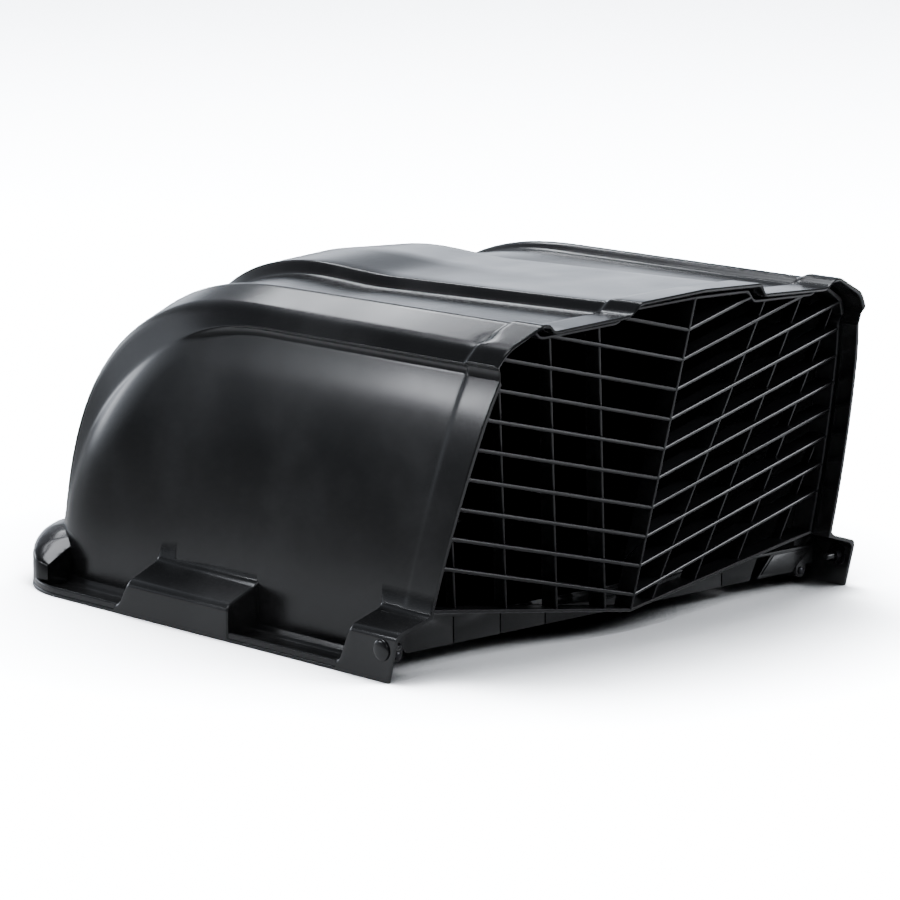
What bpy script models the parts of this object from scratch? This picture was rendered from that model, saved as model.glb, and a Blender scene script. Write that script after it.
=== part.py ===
"""Roof vent cover for a recreational vehicle, in metres, +Z up.

The hood is a thin moulded shell: flat sides, a top with raised bands and a round nose at +Y.
Its rear mouth at -Y leans outward and holds a lattice of chevron louvre blades. A gutter runs
round the foot, with hollow blocks on it. Inside the front blocks the hood tilts on two hinge
brackets; the rear blocks carry the bolts that hold it down.
"""
import math

import bmesh
import bpy
from mathutils import Vector

# Driving dimensions: overall size, wall thickness, play round the louvre, gap between touching pieces
WIDTH = 0.500
LENGTH = 0.574
HEIGHT = 0.2834
WALL = 0.003
GAP = 0.0006
TOUCH = 0.0003
HALF_LENGTH = LENGTH / 2

# Rear mouth: at the foot it stands at FOOT_REAR, it leans rearward with the height, and the
# middle of the roof juts out past its sides
FOOT_REAR = -0.200
MOUTH_PROW = 0.050
RIM_DEPTH = 0.036
RIM_STEP = 0.0025
RAKE = (HALF_LENGTH + FOOT_REAR) / (HEIGHT - RIM_STEP)

# Side wall: half width at the foot, and how much it draws in with the height
WALL_FOOT = 0.2190
WALL_DRAW = 0.44

# Lengthwise lines of the hood: half width, height over the nose's centre, reach of the nose,
# roundness exponent of the nose, and the rise of the roof towards the rear (linear, square)
PANEL_EDGE = (None, 0.2300, 0.188, 2.20, 0.010, 0.0)
CREASE = (0.1970, 0.2395, 0.262, 1.95, 0.010, 0.0)
SHOULDER_OUT = (0.1886, 0.2535, 0.2665, 2.55, 0.004, 0.0)
SHOULDER_TOP = (0.1550, 0.2670, 0.2670, 2.60, 0.017, 0.0)
CHANNEL_OUT = (0.1465, 0.2590, 0.2655, 2.62, 0.017, 0.0)
CHANNEL_IN = (0.0720, 0.2562, 0.2665, 3.30, 0.042, 0.0)
BAND_OUT = (0.0650, 0.2660, 0.2690, 3.50, 0.040, 0.0)
APEX = (0.0, 0.2690, 0.2700, 3.60, 0.001, 0.140)
# Swelling of the middle band over the nose: its height on each line, and how far forward it is reached
NOSE_SWELL = {CHANNEL_IN: 0.0065, BAND_OUT: 0.0065, APEX: 0.0045}
SWELL_REACH = 0.12
ROOF_LINES = (CREASE, SHOULDER_OUT, SHOULDER_TOP, CHANNEL_OUT, CHANNEL_IN, BAND_OUT, APEX)
NOSE_STEPS = 12
MID_STATIONS = (0.33, 0.66)
FLAT_ANGLE = math.radians(0.2)

# Gutter round the foot
GUTTER_CORNER = 0.085
GUTTER_FLOOR = 0.003
GUTTER_LIP = 0.0075
LIP_WIDTH = 0.003

# Blocks on the gutter: ends in Y, height at the wall and at the outer face
MID_BLOCK = (-0.013, 0.107, 0.045, 0.031)
REAR_BLOCK = (-0.215, -0.160, 0.051, 0.041)
BLOCK_SLOPE = 0.020
# Sloping front end of a block: how far along the slope, and share of the height left there
BLOCK_FRONT = ((0.0, 1.0), (0.35, 0.86), (0.7, 0.5), (1.0, 0.24))

# Heights on the side wall where its profile has a point, as shares of the panel edge
WALL_SHARES = (0.0, 0.24, 0.62)
# Domed block over each front corner: direction from the corner's centre, outer radius, and
# height at the outer edge and at the hood
DOME = ((8.0, 0.0700, 0.0165, 0.0215), (20.0, 0.0765, 0.0195, 0.0245), (27.0, 0.0830, 0.0215, 0.0320),
        (36.0, 0.0846, 0.0240, 0.0390), (48.0, 0.0846, 0.0285, 0.0430), (62.0, 0.0846, 0.0345, 0.0455),
        (78.0, 0.0846, 0.0390, 0.0470), (86.0, 0.0835, 0.0350, 0.0430), (89.5, 0.0800, 0.0280, 0.0350))
DOME_INNER = 0.044
DOME_PIECES = 4
DOME_REAR = 0.228

# Hinge at the nose, and the rear fastening
HINGE_Y = 0.262
HINGE_Z = 0.014
HINGE_PIN = 0.003
LUG_X = (0.1815, 0.1915)
LUG_THICK = 0.003
LUG_TOP = 0.0405
EAR_X = 0.1870
FRONT_FOOT = 0.0145
SHEET = 0.002
BOLT_Y = -0.1940
BOLT_Z = 0.0253
BOLT_RADIUS = 0.003
HOLE_PLAY = 0.0005
PANEL_SCREW = 0.0015

# Louvre lattice: its front face, the blades and the ribs
LOUVRE_FOOT = -0.2010
LOUVRE_RAKE = 0.270
LOUVRE_PROW = 0.088
BLADE_COUNT = 10
BLADE_TOP = 0.2490
BLADE_PITCH = 0.02415
BLADE_RISE = 0.252
BLADE_THICK = 0.0030
BLADE_DEPTH = 0.019
RIB_FEET = (0.0194, 0.0671, 0.1166, 0.1660)
RIB_FAN = 0.270
RIB_THICK = 0.0022
RIB_RECESS = 0.0015
RIM_CENTRE_Z = 0.0190
RIM_RISE = 0.137
FRAME_THICK = 0.0035
FRAME_DEPTH = 0.020

# Cross panel under the louvre, as an outline and cuts in the X-Z plane
CROSS_Y = -0.178
CROSS_FOOT = 0.0135
CROSS_STEP = 0.0182
CROSS_HALF = 0.2335
CROSS_TOP = ((CROSS_HALF, 0.0330), (0.1750, 0.0330), (0.1600, 0.0374), (0.1350, 0.0340), (-0.1350, 0.0340),
             (-0.2110, 0.0444), (-CROSS_HALF, 0.0385))
SLITS = ((-0.1625, 0.0345), (-0.1135, 0.0300), (-0.0660, 0.0270), (0.1285, 0.0246))
SLIT_WIDTH = 0.0018
WIDE_SLIT = ((0.1604, 0.0), (0.1690, 0.0), (0.1690, CROSS_FOOT), (0.1849, 0.0310), (0.1688, 0.0310),
             (0.1604, CROSS_FOOT))
PLATE = ((0.1735, 0.0165), (0.2065, 0.0165), (0.2265, 0.0305), (0.1880, 0.0305))
PLATE_RAISE = 0.0010
TAB_X = 0.2200
TAB_Z = 0.0130
TAB_RADIUS = 0.0052
POST_X = (0.2155, 0.2250)
POST_Y = (CROSS_Y + WALL + TOUCH, -0.1650)
POST_Z = (0.0085, 0.0472)


def clear_scene():
    """Remove whatever the file opened with."""
    for old in list(bpy.data.objects):
        bpy.data.objects.remove(old, do_unlink=True)


def material(name, colour, roughness, metallic=0.0):
    """One Principled material."""
    made = bpy.data.materials.new(name)
    made.use_nodes = True
    shader = made.node_tree.nodes["Principled BSDF"]
    shader.inputs["Base Color"].default_value = (*colour, 1.0)
    shader.inputs["Roughness"].default_value = roughness
    shader.inputs["Metallic"].default_value = metallic
    made.diffuse_color = (*colour, 1.0)
    return made


def make_object(name, bm):
    """Turn a bmesh into an object with its faces pointing out."""
    bmesh.ops.remove_doubles(bm, verts=bm.verts, dist=1e-6)
    bmesh.ops.dissolve_degenerate(bm, edges=bm.edges, dist=1e-6)
    bmesh.ops.recalc_face_normals(bm, faces=bm.faces)
    mesh = bpy.data.meshes.new(name)
    bm.to_mesh(mesh)
    bm.free()
    made = bpy.data.objects.new(name, mesh)
    bpy.context.scene.collection.objects.link(made)
    return made


def closed(bm):
    """Whether a mesh has faces and every edge joins exactly two of them."""
    return len(bm.faces) > 0 and all(len(edge.link_faces) == 2 for edge in bm.edges)


def combine(target, tool, operation):
    """Apply a Boolean with the tool and remove the tool; MANIFOLD steps in where EXACT fails."""
    modifier = target.modifiers.new("combine", "BOOLEAN")
    modifier.operation = operation
    modifier.object = tool
    for solver in ("EXACT", "MANIFOLD"):
        modifier.solver = solver
        bpy.context.view_layer.update()
        evaluated = target.evaluated_get(bpy.context.evaluated_depsgraph_get())
        result = bpy.data.meshes.new_from_object(evaluated)
        bm = bmesh.new()
        bm.from_mesh(result)
        bmesh.ops.triangulate(bm, faces=bm.faces)
        whole = closed(bm)
        bm.to_mesh(result)
        bm.free()
        if whole:
            break
    target.modifiers.clear()
    target.data = result
    bpy.data.objects.remove(tool, do_unlink=True)
    return target


def merge_flats(target):
    """Join the flat neighbours that Booleans leave behind, then triangulate once."""
    bm = bmesh.new()
    bm.from_mesh(target.data)
    bmesh.ops.dissolve_limit(bm, angle_limit=FLAT_ANGLE, verts=bm.verts, edges=bm.edges)
    bmesh.ops.triangulate(bm, faces=bm.faces)
    bm.to_mesh(target.data)
    bm.free()
    return target


def union(target, *tools):
    for tool in tools:
        combine(target, tool, "UNION")
    return target


def cut(target, *tools):
    for tool in tools:
        combine(target, tool, "DIFFERENCE")
    return target


def loft(name, rings, closed=False):
    """Skin equal rings of points; the two end rings are capped unless the loft is closed."""
    bm = bmesh.new()
    rows = [[bm.verts.new(point) for point in ring] for ring in rings]
    count = len(rows[0])
    pairs = list(zip(rows, rows[1:]))
    if closed:
        pairs.append((rows[-1], rows[0]))
    for low, high in pairs:
        for i in range(count):
            j = (i + 1) % count
            bm.faces.new((low[i], low[j], high[j], high[i]))
    if not closed:
        bm.faces.new(rows[0][::-1])
        bm.faces.new(rows[-1])
    bmesh.ops.triangulate(bm, faces=[face for face in bm.faces if len(face.verts) > 4])
    return make_object(name, bm)


def box(name, x, y, z):
    """Axis-aligned box from three (low, high) pairs."""
    low, high = sorted(z)
    corners = ((x[0], y[0]), (x[1], y[0]), (x[1], y[1]), (x[0], y[1]))
    return loft(name, [[(a, b, level) for a, b in corners] for level in (low, high)])


def prism(name, outline, low, high):
    """Upright prism over an outline of (x, y) points."""
    return loft(name, [[(x, y, level) for x, y in outline] for level in (low, high)])


def rod(name, centre, steps, sides=24, along_y=False):
    """Round piece along X or Y: steps are (place, radius) pairs from one end to the other."""
    rings = []
    for place, radius in steps:
        ring = []
        for i in range(sides):
            a = 2 * math.pi * i / sides
            u = centre[0] + radius * math.cos(a)
            v = centre[1] + radius * math.sin(a)
            ring.append((u, place, v) if along_y else (place, u, v))
        rings.append(ring)
    return loft(name, rings)


def slab(name, outline, low, high):
    """Upright plate over an outline of (x, z) points, from low to high in Y."""
    return loft(name, [[(x, y, z) for x, z in outline] for y in (low, high)])


def tube(name, centre, x, outer, inner, sides=24):
    """Round sleeve along X."""
    profile = ((x[0], inner), (x[0], outer), (x[1], outer), (x[1], inner))
    rings = []
    for i in range(sides):
        a = 2 * math.pi * i / sides
        rings.append([(px, centre[0] + r * math.cos(a), centre[1] + r * math.sin(a)) for px, r in profile])
    return loft(name, rings, closed=True)


# ---- hood surface -----------------------------------------------------------------------

def wall_x(z, offset=0.0):
    """Half width of the side wall at height z."""
    return WALL_FOOT - WALL_DRAW * z * z - offset


def line_height(line, y):
    """Height of a lengthwise line behind the nose's centre, at y <= 0."""
    return line[1] + line[4] * -y + line[5] * y * y


def mouth_y(x, z):
    """Where the rear mouth stands at a point of the profile."""
    return FOOT_REAR - RAKE * z + MOUTH_PROW * abs(x) * z / HEIGHT


def line_x(line, z, offset):
    """Half width of a lengthwise line; the wall's own lines follow the wall."""
    if line[0] is None:
        return wall_x(z, offset)
    shares = {CREASE: 1.0, SHOULDER_OUT: 0.7, CHANNEL_IN: -0.3, BAND_OUT: 0.3}
    return max(line[0] - shares.get(line, 0.0) * offset, 0.0)


def straight_point(line, distance, offset):
    """Point of a line at a share 0..1 of the way from the mouth to the nose's centre."""
    z = line[1] - offset
    y = 0.0
    for _ in range(4):
        x = line_x(line, z, offset)
        rear = mouth_y(x, z)
        y = rear + distance if distance >= 0 else rear * -distance
        z = line_height(line, min(y, 0.0)) - offset
    return Vector((line_x(line, z, offset), y, z))


def nose_point(line, angle, offset):
    """Point of a line on the nose: angle is 90 degrees at the top and 0 at the front foot."""
    power = 2.0 / line[3]
    y = (line[2] - offset) * max(math.cos(angle), 0.0) ** power
    z = (line[1] - offset) * max(math.sin(angle), 0.0) ** power
    t = min(y / SWELL_REACH, 1.0)
    z += NOSE_SWELL.get(line, 0.0) * t * t * (3 - 2 * t) * (z / line[1]) ** 2
    return Vector((line_x(line, z, offset), y, z))


def half_row(place, offset, lift):
    """Half profile from the foot of the wall to the apex, at one station."""
    edge = place(PANEL_EDGE)
    lines = [place(line) for line in ROOF_LINES]
    row = []
    for share in WALL_SHARES:
        z = edge.z * share
        y = edge.y
        if edge.y < 0:
            top = mouth_y(edge.x, edge.z)
            y += (mouth_y(edge.x, z) - top) * max(min(edge.y / top, 1.0), 0.0)
        row.append(Vector((wall_x(z, offset), y, z)))
    row.append(edge)
    crease = lines[0]
    turn = edge.lerp(crease, 0.62)
    turn.x = wall_x(turn.z, offset)
    row.append((edge + crease) / 4 + turn / 2)
    row += lines
    for point in row[:5]:
        point.x += lift
    for point in lines:
        point.z += lift
        if point.x > SHOULDER_TOP[0]:
            point.x += lift
    return row


def hood_rows(offset):
    """Stations from the rear mouth to the front foot, each a half profile."""
    rows = []
    for depth, lift in ((0.0, RIM_STEP), (RIM_DEPTH, RIM_STEP), (RIM_DEPTH + 0.005, 0.0)):
        rows.append(half_row(lambda line: straight_point(line, depth, offset), offset, lift))
    for share in MID_STATIONS:
        rows.append(half_row(lambda line: straight_point(line, share - 1.0, offset), offset, 0.0))
    for i in range(NOSE_STEPS + 1):
        angle = math.radians(90.0 * (1 - i / NOSE_STEPS))
        rows.append(half_row(lambda line: nose_point(line, angle, offset), offset, 0.0))
    return rows


def full_row(row):
    """Both halves of a station, from the left foot over the apex to the right foot."""
    return [(-p.x, p.y, p.z) for p in row] + [tuple(p) for p in row[-2::-1]]


def skin(name, outer, inner):
    """Thin shell between two grids of the same size."""
    rows = len(outer)
    count = len(outer[0])
    bm = bmesh.new()
    out = [[bm.verts.new(p) for p in row] for row in outer]
    ins = [[bm.verts.new(p) for p in row] for row in inner]
    for i in range(rows - 1):
        for j in range(count - 1):
            bm.faces.new((out[i][j], out[i][j + 1], out[i + 1][j + 1], out[i + 1][j]))
            bm.faces.new((ins[i][j], ins[i + 1][j], ins[i + 1][j + 1], ins[i][j + 1]))
    border = [(0, j) for j in range(count)]
    border += [(i, count - 1) for i in range(1, rows)]
    border += [(rows - 1, j) for j in range(count - 2, -1, -1)]
    border += [(i, 0) for i in range(rows - 2, 0, -1)]
    for (a, b), (c, d) in zip(border, border[1:] + border[:1]):
        bm.faces.new((out[a][b], ins[a][b], ins[c][d], out[c][d]))
    bmesh.ops.remove_doubles(bm, verts=bm.verts, dist=1e-5)
    bmesh.ops.triangulate(bm, faces=bm.faces)
    return make_object(name, bm)


# ---- gutter and blocks ------------------------------------------------------------------

def gutter_outline(inset=0.0):
    """Outline of the foot in plan: straight sides and rear, round front corners."""
    side = WIDTH / 2 - inset
    front = HALF_LENGTH - inset
    radius = GUTTER_CORNER - inset
    centre = (side - radius, front - radius)
    arc = [math.radians(90.0 * i / 10) for i in range(11)]
    right = [(centre[0] + radius * math.cos(a), centre[1] + radius * math.sin(a)) for a in arc]
    left = [(-x, y) for x, y in right[::-1]]
    return [(-side, FOOT_REAR), (side, FOOT_REAR)] + right + left


def foot_outline(offset):
    """Outline of the hood's foot in plan, set in from the outer face."""
    row = [nose_point(line, 0.0, offset) for line in ROOF_LINES]
    edge = nose_point(PANEL_EDGE, 0.0, offset)
    right = [(edge.x, -1.0), (edge.x, edge.y)] + [(p.x, p.y) for p in row]
    left = [(-x, y) for x, y in right[-2::-1]]
    return right + left


def gutter():
    """Shallow channel round the foot with an upturned lip."""
    plate = prism("gutter", gutter_outline(), 0.0, GUTTER_LIP)
    trough = prism("trough", gutter_outline(LIP_WIDTH), GUTTER_FLOOR, 2 * GUTTER_LIP)
    inside = prism("inside", foot_outline(WALL / 2), -GUTTER_LIP, 2 * GUTTER_LIP)
    return cut(plate, trough, inside)


def side_block(side, ends, inset):
    """Block on the side gutter; the same shape set in by the wall makes its hollow."""
    rear, front, high, low = ends
    outer = WIDTH / 2 - inset
    inner = wall_x(high) - WALL / 2 if inset == 0 else wall_x(high) - 2 * WALL
    foot = 0.0 if inset == 0 else -WALL
    rings = []
    slope = BLOCK_SLOPE - inset / 2
    for y, share in [(rear + inset, 1.0)] + [(front + slope * run - inset, share) for run, share in BLOCK_FRONT]:
        top_in = high * share - inset
        top_out = low * share - inset
        bevel = 0.004 * share
        ring = [(inner, foot), (outer, foot), (outer, top_out - bevel), (outer - bevel, top_out), (inner, top_in)]
        rings.append([(side * x, y, z) for x, z in ring])
    return loft("block", rings)


def rear_block(side, inset):
    """Rear block: its end follows the rake of the mouth."""
    rear, front, high, low = REAR_BLOCK
    block = side_block(side, (rear - 0.02, front, high, low), inset)
    if inset:
        return block
    rings = []
    for x in (side * 0.18, side * 0.27):
        edge = [(x, mouth_y(x, z), z) for z in (0.08, -0.01)]
        rings.append(edge + [(x, -HALF_LENGTH, -0.01), (x, -HALF_LENGTH, 0.08)])
    return cut(block, loft("rake", rings))


def front_block(side, inset):
    """Domed block that follows the gutter's front corner; set in, the same shape makes its hollow."""
    centre = (WIDTH / 2 - GUTTER_CORNER, HALF_LENGTH - GUTTER_CORNER)
    last = DOME[-1][0] - math.degrees(inset / DOME_INNER)
    rings = []
    for degrees, radius, low, high in DOME:
        a = math.radians(min(degrees, last))
        outer = radius - inset
        section = [(DOME_INNER, -inset), (outer, -inset)]
        for i in range(DOME_PIECES + 1):
            turn = math.radians(90.0 * i / DOME_PIECES)
            reach = DOME_INNER + (outer - DOME_INNER) * math.cos(turn)
            section.append((reach, low + (high - low) * math.sin(turn) - inset))
        rings.append([(side * (centre[0] + r * math.cos(a)), centre[1] + r * math.sin(a), z) for r, z in section])
        if degrees > last:
            break
    block = loft("front_block", rings)
    ends = sorted((side * 0.15, side * WIDTH))
    return cut(block, box("end", ends, (0.0, DOME_REAR + inset), (-0.02, 0.08)))


def hinge_lugs(side):
    """Two lugs inside the front block, with the pin's hole through both."""
    pair = []
    for x in LUG_X:
        ends = sorted((side * x, side * (x + LUG_THICK)))
        reach = (HINGE_Y - 0.010, HINGE_Y + 0.010)
        pair.append(box("lug", ends, reach, (0.005, LUG_TOP)))
    return pair


def panel_post(side):
    """Post under the rear block's roof that takes the cross panel's screw."""
    post = box("post", sorted((side * POST_X[0], side * POST_X[1])), POST_Y, POST_Z)
    hole = [(POST_Y[0] - WALL, PANEL_SCREW + HOLE_PLAY), (POST_Y[1] + WALL, PANEL_SCREW + HOLE_PLAY)]
    return cut(post, rod("hole", (side * TAB_X, TAB_Z), hole, sides=16, along_y=True))


def across(side, x, radius, centre, name="hole"):
    """Round cutter along X on one side."""
    steps = [(side * x[0], radius), (side * x[1], radius)]
    return rod(name, centre, steps, sides=20)


def hood_shell():
    """The moulded hood: shell, gutter, blocks and hinge lugs in one piece."""
    outer = [full_row(row) for row in hood_rows(0.0)]
    inner = [full_row(row) for row in hood_rows(WALL)]
    shell = skin("hood_shell", outer, inner)
    union(shell, gutter())
    for side in (-1, 1):
        union(shell, side_block(side, MID_BLOCK, 0.0), rear_block(side, 0.0), front_block(side, 0.0))
    for side in (-1, 1):
        cut(shell, side_block(side, MID_BLOCK, WALL), rear_block(side, WALL), front_block(side, WALL))
        union(shell, *hinge_lugs(side), panel_post(side))
        cut(shell, across(side, (0.175, 0.205), HINGE_PIN + HOLE_PLAY, (HINGE_Y, HINGE_Z)))
        cut(shell, across(side, (0.240, 0.260), BOLT_RADIUS + HOLE_PLAY, (BOLT_Y, BOLT_Z)))
    return shell


# ---- louvre -----------------------------------------------------------------------------

def louvre_y(x, z):
    """Front face of the louvre lattice."""
    return LOUVRE_FOOT - LOUVRE_RAKE * z + LOUVRE_PROW * abs(x)


def slat(name, stations, thick, depth, recess=0.0, upright=False):
    """Flat bar in the lattice through (x, z) stations, running in from the front face."""
    rings = []
    for x, z in stations:
        shift = (thick / 2, 0.0) if upright else (0.0, thick / 2)
        ring = []
        for sign, back in ((-1, 0.0), (1, 0.0), (1, depth), (-1, depth)):
            px = x + sign * shift[0]
            pz = z + sign * shift[1]
            ring.append((px, louvre_y(px, pz) + recess + back, pz))
        rings.append(ring)
    return loft(name, rings)


def frame_outline(offset):
    """Outline of the louvre frame: the mouth's inner profile, closed by the bottom rim."""
    distance = 0.010
    row = half_row(lambda line: straight_point(line, distance, offset), offset, 0.0)
    top = [(p.x, p.z) for p in row[1:]]
    corner_z = RIM_CENTRE_Z + RIM_RISE * wall_x(0.045) - FRAME_THICK / 2 + (offset - WALL - GAP)
    corner_x = row[0].x + (row[1].x - row[0].x) * corner_z / row[1].z
    right = [(corner_x, corner_z)] + [p for p in top if p[1] > corner_z + 0.01]
    left = [(-x, z) for x, z in right[-2::-1]]
    centre_z = RIM_CENTRE_Z - FRAME_THICK / 2 + (offset - WALL - GAP)
    return right + left + [(0.0, centre_z)]


def frame_ring():
    """Perimeter frame of the louvre."""
    outer = frame_outline(WALL + GAP)
    inner = frame_outline(WALL + GAP + FRAME_THICK)
    rings = []
    for (xo, zo), (xi, zi) in zip(outer, inner):
        front_out = louvre_y(xo, zo)
        front_in = louvre_y(xi, zi)
        ring = [(xo, front_out, zo), (xi, front_in, zi)]
        ring += [(xi, front_in + FRAME_DEPTH, zi), (xo, front_out + FRAME_DEPTH, zo)]
        rings.append(ring)
    return loft("frame", rings, closed=True)


def louvre_grille():
    """Chevron blades, fanned ribs and a ridge rib, trimmed to the frame."""
    reach = 0.26
    bars = []
    for i in range(BLADE_COUNT):
        z = BLADE_TOP - i * BLADE_PITCH
        end_z = z + BLADE_RISE * reach
        bars.append(slat("blade", [(-reach, end_z), (0.0, z), (reach, end_z)], BLADE_THICK, BLADE_DEPTH))
    for side in (-1, 1):
        for foot in RIB_FEET:
            run = [(side * (foot + RIB_FAN * z), z) for z in (0.0, 0.30)]
            depth = BLADE_DEPTH - 2 * RIB_RECESS
            bars.append(slat("rib", run, RIB_THICK, depth, RIB_RECESS, upright=True))
    ridge = slat("ridge", [(0.0, 0.0), (0.0, 0.30)], RIB_THICK, BLADE_DEPTH + 0.001, -0.0005, upright=True)
    lattice = union(ridge, *bars)
    outline = frame_outline(WALL + GAP + FRAME_THICK / 2)
    rings = [[(x, y, z) for x, z in outline] for y in (-0.40, -0.10)]
    combine(lattice, loft("trim", rings), "INTERSECT")
    union(lattice, frame_ring())
    lattice.name = "louvre_grille"
    return merge_flats(lattice)


def rear_cross_panel():
    """Panel between the rear blocks: narrow slits, one wide gap, a blank plate and two screw tabs."""
    front = CROSS_Y + WALL
    bottom = [(-CROSS_HALF, CROSS_STEP), (-0.2145, CROSS_STEP), (-0.2100, CROSS_FOOT)]
    bottom += [(-x, z) for x, z in bottom[::-1]]
    panel = slab("rear_cross_panel", bottom + list(CROSS_TOP), CROSS_Y, front)
    for side in (-1, 1):
        x = side * TAB_X
        neck = box("neck", (x - TAB_RADIUS, x + TAB_RADIUS), (CROSS_Y, front), (TAB_Z, 0.0200))
        tab = rod("tab", (side * TAB_X, TAB_Z), [(CROSS_Y, TAB_RADIUS), (front, TAB_RADIUS)], along_y=True)
        union(panel, neck, tab)
        clear = PANEL_SCREW + 0.0006
        ends = [(CROSS_Y - WALL, clear), (front + WALL, clear)]
        cut(panel, rod("hole", (side * TAB_X, TAB_Z), ends, sides=16, along_y=True))
    for x, top in SLITS:
        span = (x - SLIT_WIDTH / 2, x + SLIT_WIDTH / 2)
        cut(panel, box("slit", span, (CROSS_Y - WALL, front + WALL), (0.0, top)))
    cut(panel, slab("gap", WIDE_SLIT, CROSS_Y - WALL, front + WALL))
    return union(panel, slab("plate", PLATE, CROSS_Y - PLATE_RAISE, CROSS_Y + WALL / 2))


# ---- fastenings -------------------------------------------------------------------------

def side_name(side):
    return "left" if side < 0 else "right"


def front_bracket(side):
    """Sheet-metal hinge bracket: a foot on the roof side and an ear round the hinge bush."""
    ear_x = sorted((side * EAR_X, side * (EAR_X + SHEET)))
    radius = 0.008
    outline = [(0.225, SHEET / 2), (HINGE_Y + radius, SHEET / 2)]
    for i in range(9):
        a = math.radians(180.0 * i / 8)
        outline.append((HINGE_Y + radius * math.cos(a), HINGE_Z + radius * math.sin(a)))
    rings = [[(x, y, z) for y, z in outline] for x in ear_x]
    ear = loft("front_bracket_" + side_name(side), rings)
    foot_x = sorted((side * (EAR_X + SHEET / 2), side * (EAR_X - FRONT_FOOT)))
    union(ear, box("foot", foot_x, (0.195, 0.245), (0.0, SHEET)))
    hole = across(side, (EAR_X - 0.002, EAR_X + 0.004), 0.0048, (HINGE_Y, HINGE_Z))
    return cut(ear, hole)


def screw_solid(name, x, y):
    """Pan-head screw through a bracket's foot, flush with the foot's underside."""
    rings = []
    for z, radius in ((TOUCH, 0.0019), (SHEET + TOUCH, 0.0019), (SHEET + TOUCH, 0.0040),
                      (SHEET + 0.0016, 0.0036), (SHEET + 0.0024, 0.0022)):
        ring = [(x + radius * math.cos(math.pi * i / 8), y + radius * math.sin(math.pi * i / 8), z) for i in range(16)]
        rings.append(ring)
    return loft(name, rings)


def screw_hole(x, y):
    radius = 0.0019 + GAP
    ring = [(x + radius * math.cos(math.pi * i / 8), y + radius * math.sin(math.pi * i / 8)) for i in range(16)]
    return prism("hole", ring, -SHEET, 2 * SHEET)


def screw_places(side):
    """Where the two screws go through the foot of a front bracket."""
    return [(side * (EAR_X - FRONT_FOOT / 2), y) for y in (0.205, 0.232)]


def rear_bolt(side):
    """Round-head bolt through the rear block's outer wall."""
    face = WIDTH / 2
    steps = [(face - 0.018, 0.0026), (face - 0.017, BOLT_RADIUS), (face + TOUCH, BOLT_RADIUS)]
    steps += [(face + TOUCH, 0.0085), (face + 0.0012, 0.0083), (face + 0.0024, 0.0068), (face + 0.0031, 0.0040)]
    return rod("rear_bolt_" + side_name(side), (BOLT_Y, BOLT_Z), [(side * x, r) for x, r in steps])


def panel_screw(side):
    """Pan-head screw that holds an end of the cross panel to its post."""
    head = CROSS_Y - TOUCH
    steps = [(POST_Y[1] + 0.0005, 0.0010), (POST_Y[1] - 0.0007, PANEL_SCREW), (head, PANEL_SCREW)]
    steps += [(head, 0.0033), (head - 0.0010, 0.0031), (head - 0.0018, 0.0018)]
    return rod("panel_screw_" + side_name(side), (side * TAB_X, TAB_Z), steps, sides=16, along_y=True)


def rear_washer(side):
    x = WIDTH / 2 - WALL - TOUCH
    span = sorted((side * x, side * (x - 0.0012)))
    return tube("rear_washer_" + side_name(side), (BOLT_Y, BOLT_Z), span, 0.0084, BOLT_RADIUS + TOUCH)


def rear_nut(side):
    x = WIDTH / 2 - WALL - 0.0018
    ends = [(side * x, 0.0062), (side * (x - 0.0050), 0.0062)]
    nut = rod("rear_nut_" + side_name(side), (BOLT_Y, BOLT_Z), ends, sides=6)
    return cut(nut, across(side, (x - 0.010, x + 0.005), BOLT_RADIUS + TOUCH, (BOLT_Y, BOLT_Z)))


def hinge_pin(side):
    """Clevis pin through both lugs and the bush."""
    inner = LUG_X[0] - 0.0004
    steps = [(inner - 0.0020, 0.0048), (inner - 0.0016, 0.0055), (inner, 0.0055), (inner, HINGE_PIN)]
    steps += [(LUG_X[1] + 0.0065, HINGE_PIN), (LUG_X[1] + 0.0072, 0.0024)]
    return rod("hinge_pin_" + side_name(side), (HINGE_Y, HINGE_Z), [(side * x, r) for x, r in steps])


def hinge_clip(side):
    """Retaining ring on the end of the hinge pin, open on one side."""
    start = side * (LUG_X[1] + LUG_THICK + 0.0004)
    span = (start, start + side * 0.0010)
    rings = []
    for i in range(19):
        a = math.radians(40.0 + 280.0 * i / 18)
        ring = []
        for x, r in ((span[0], 0.0033), (span[0], 0.0056), (span[1], 0.0056), (span[1], 0.0033)):
            ring.append((x, HINGE_Y + r * math.cos(a), HINGE_Z + r * math.sin(a)))
        rings.append(ring)
    return loft("hinge_clip_" + side_name(side), rings)


def hinge_bush(side):
    """Nylon bush in the bracket's ear."""
    span = sorted((side * (LUG_X[0] + LUG_THICK + 0.0005), side * (LUG_X[1] - 0.0005)))
    return tube("hinge_bush_" + side_name(side), (HINGE_Y, HINGE_Z), span, 0.0044, HINGE_PIN + 0.0004)


def finish(piece, look):
    """Smooth the round faces and give the piece its material."""
    piece.data.materials.clear()
    piece.data.materials.append(look)
    for polygon in piece.data.polygons:
        polygon.material_index = 0
    piece.data.shade_smooth()
    piece.data.set_sharp_from_angle(angle=math.radians(30))
    piece.data.name = piece.name


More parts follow.
